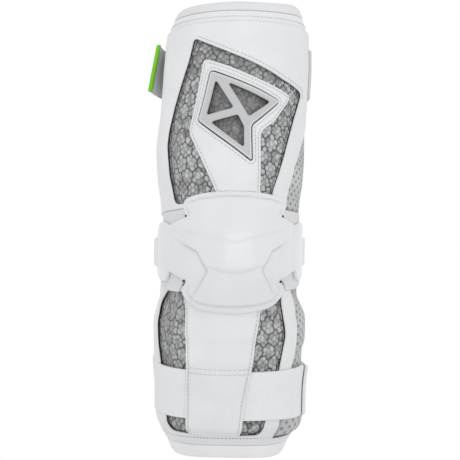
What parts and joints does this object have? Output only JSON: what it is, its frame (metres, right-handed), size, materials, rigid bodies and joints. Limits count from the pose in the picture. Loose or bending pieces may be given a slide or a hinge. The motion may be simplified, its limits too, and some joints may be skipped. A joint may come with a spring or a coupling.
{
  "type": "lacrosse arm pad",
  "caption": "Arm guard in its worn form: a perforated sleeve with cell-patterned pads, white shells, a hard elbow cap and elastic straps.",
  "frame": {"origin": "on the arm's middle line, at the middle of the elbow", "axes": "+Z along the arm to the shoulder; -Y is the front, where the elbow cap is; +X is to the right of a person who looks at the cap"},
  "size_m": [0.13, 0.1425, 0.3595],
  "materials": {
    "white_leather": "satin synthetic leather",
    "white_elastic": "ribbed matt elastic",
    "grey_mesh": "perforated matt mesh",
    "grey_foam": "matt moulded foam",
    "cap_plastic": "glossy moulded plastic",
    "silver_plastic": "satin silver",
    "green_tape": "matt edge tape"
  },
  "bodies": {
    "root": {"upper_sleeve": "grey_mesh", "elbow_sleeve": "grey_mesh", "lower_sleeve": "grey_mesh", "top_hem": "white_leather", "bottom_hem": "white_leather", "top_band": "white_leather", "upper_pad": "grey_foam", "lower_pad": "grey_foam", "upper_side_mesh": "grey_mesh", "lower_side_mesh": "grey_mesh", "upper_shell": "white_leather", "lower_shell": "white_leather", "shield_panel": "white_leather", "vent_frame": "silver_plastic", "forearm_panel": "white_leather", "elbow_cap": "cap_plastic", "cap_tab_upper_left": "white_elastic", "cap_tab_upper_right": "white_elastic", "cap_tab_lower_left": "white_elastic", "cap_tab_lower_right": "white_elastic", "upper_strap": "white_elastic", "pull_tab": "grey_mesh", "pull_tab_edge": "green_tape", "elbow_strap": "white_elastic", "lower_strap": "white_elastic", "lower_strap_end": "white_leather"}
  },
  "joints": []
}
